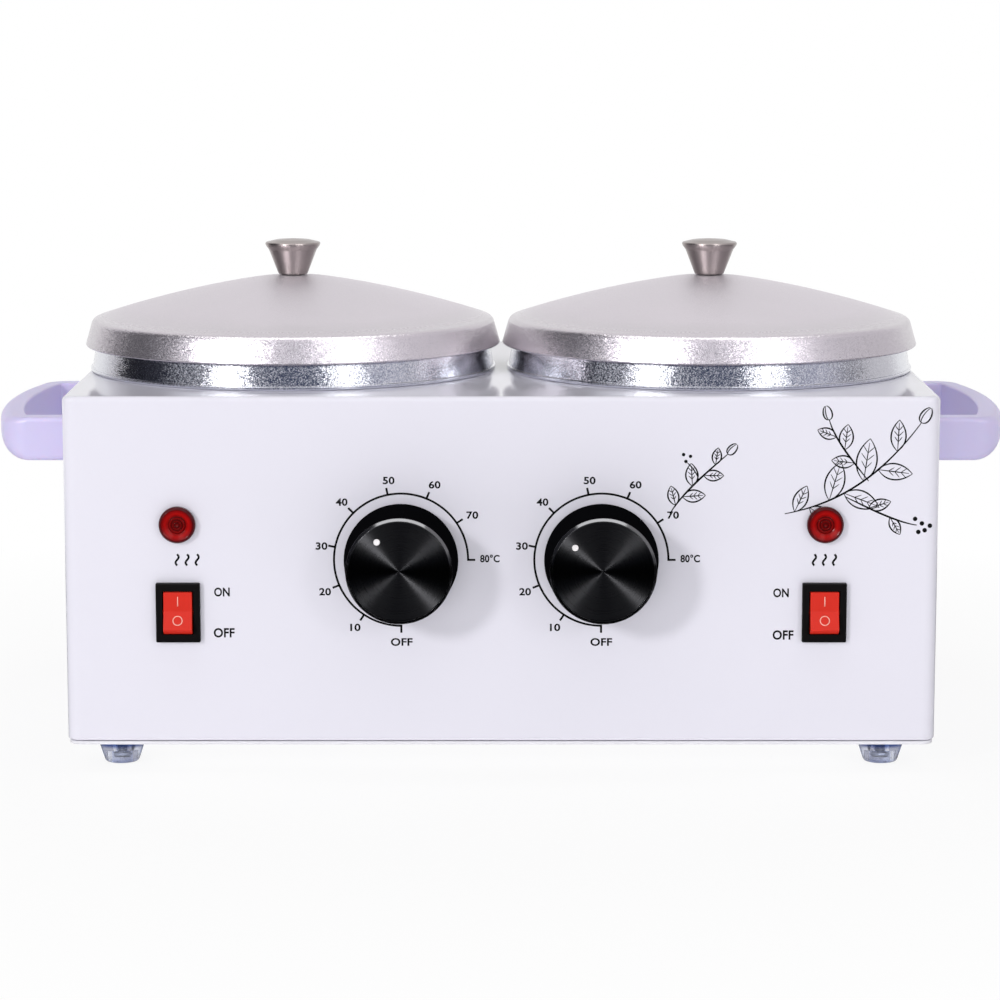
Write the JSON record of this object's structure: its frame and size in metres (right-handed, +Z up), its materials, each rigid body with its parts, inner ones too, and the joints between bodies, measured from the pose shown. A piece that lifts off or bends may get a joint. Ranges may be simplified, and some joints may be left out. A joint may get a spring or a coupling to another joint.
{
  "type": "double wax warmer",
  "caption": "Long white metal wax warmer: side by side round pots under shallow cone lids, front panel with rocker switches, lamps and dial knobs, loop handle at each end.",
  "frame": {"origin": "middle of the bounding box in X and Y, at the level of the soles of the feet in Z", "axes": "+X along the long side, to the right of a user who faces the panel; +Y from the panel to the back wall; +Z up"},
  "size_m": [0.3648, 0.216, 0.1817],
  "materials": {
    "enamel": "glossy white stove enamel with a faint lavender tint",
    "plate_enamel": "satin white coated sheet",
    "lavender_plastic": "moulded, satin",
    "spun_aluminium": "spun and polished",
    "frosted_aluminium": "frosted satin",
    "turned_steel": "turned stainless, satin",
    "zinc_steel": "zinc plated",
    "anodised_aluminium": "black anodised, spun face",
    "black_plastic": "moulded",
    "red_plastic": "moulded, glossy",
    "red_lens": "clear red moulded lens",
    "foot_plastic": "translucent blue-grey",
    "mica": "mica-faced band heater",
    "copper": "drawn copper tube and bulb",
    "phenolic": "moulded phenolic"
  },
  "bodies": {
    "housing": {"housing_shell": "enamel", "base_plate": "plate_enamel", "cord_gland": "black_plastic", "terminal_block": "phenolic", "handle_left": "lavender_plastic", "foot_front_left": "foot_plastic", "foot_screw_front_left": "zinc_steel", "plate_screw_front_left": "zinc_steel", "handle_screw_front_left": "zinc_steel", "foot_rear_left": "foot_plastic", "foot_screw_rear_left": "zinc_steel", "plate_screw_rear_left": "zinc_steel", "handle_screw_rear_left": "zinc_steel", "heating_well_left": "spun_aluminium", "heater_band_left": "mica", "well_stand_left": "zinc_steel", "thermostat_left": "phenolic", "thermostat_screw_left_a": "zinc_steel", "thermostat_screw_left_b": "zinc_steel", "sensor_left": "copper", "lamp_lens_left": "red_lens", "lamp_holder_left": "black_plastic", "switch_body_left": "black_plastic", "handle_right": "lavender_plastic", "foot_front_right": "foot_plastic", "foot_screw_front_right": "zinc_steel", "plate_screw_front_right": "zinc_steel", "handle_screw_front_right": "zinc_steel", "foot_rear_right": "foot_plastic", "foot_screw_rear_right": "zinc_steel", "plate_screw_rear_right": "zinc_steel", "handle_screw_rear_right": "zinc_steel", "heating_well_right": "spun_aluminium", "heater_band_right": "mica", "well_stand_right": "zinc_steel", "thermostat_right": "phenolic", "thermostat_screw_right_a": "zinc_steel", "thermostat_screw_right_b": "zinc_steel", "sensor_right": "copper", "lamp_lens_right": "red_lens", "lamp_holder_right": "black_plastic", "switch_body_right": "black_plastic"},
    "pot_left": {"inner_pot_left": "spun_aluminium"},
    "lid_left": {"lid_left": "frosted_aluminium", "lid_knob_left": "turned_steel", "lid_screw_left": "zinc_steel"},
    "knob_left": {"dial_knob_left": "anodised_aluminium", "spindle_left": "zinc_steel"},
    "rocker_left": {"rocker_left": "red_plastic"},
    "pot_right": {"inner_pot_right": "spun_aluminium"},
    "lid_right": {"lid_right": "frosted_aluminium", "lid_knob_right": "turned_steel", "lid_screw_right": "zinc_steel"},
    "knob_right": {"dial_knob_right": "anodised_aluminium", "spindle_right": "zinc_steel"},
    "rocker_right": {"rocker_right": "red_plastic"}
  },
  "joints": [
    {"name": "pot_left_lift", "type": "slide", "parent": "housing", "child": "pot_left", "axis": [0, 0, 1], "range_m": [0, 0.11]},
    {"name": "lid_left_lift", "type": "slide", "parent": "pot_left", "child": "lid_left", "axis": [0, 0, 1], "range_m": [0, 0.06]},
    {"name": "dial_left_turn", "type": "hinge", "parent": "housing", "child": "knob_left", "pos_m": [-0.03495, -0.084, 0.07641], "axis": [0, -1, 0], "range_deg": [-126.7, 143.3]},
    {"name": "rocker_left_press", "type": "hinge", "parent": "housing", "child": "rocker_left", "pos_m": [-0.1129, -0.0836, 0.0579], "axis": [1, 0, 0], "range_deg": [0, 21]},
    {"name": "pot_right_lift", "type": "slide", "parent": "housing", "child": "pot_right", "axis": [0, 0, 1], "range_m": [0, 0.11]},
    {"name": "lid_right_lift", "type": "slide", "parent": "pot_right", "child": "lid_right", "axis": [0, 0, 1], "range_m": [0, 0.06]},
    {"name": "dial_right_turn", "type": "hinge", "parent": "housing", "child": "knob_right", "pos_m": [0.03495, -0.084, 0.07641], "axis": [0, -1, 0], "range_deg": [-139.4, 130.6]},
    {"name": "rocker_right_press", "type": "hinge", "parent": "housing", "child": "rocker_right", "pos_m": [0.1129, -0.0836, 0.0579], "axis": [1, 0, 0], "range_deg": [0, 21]}
  ]
}
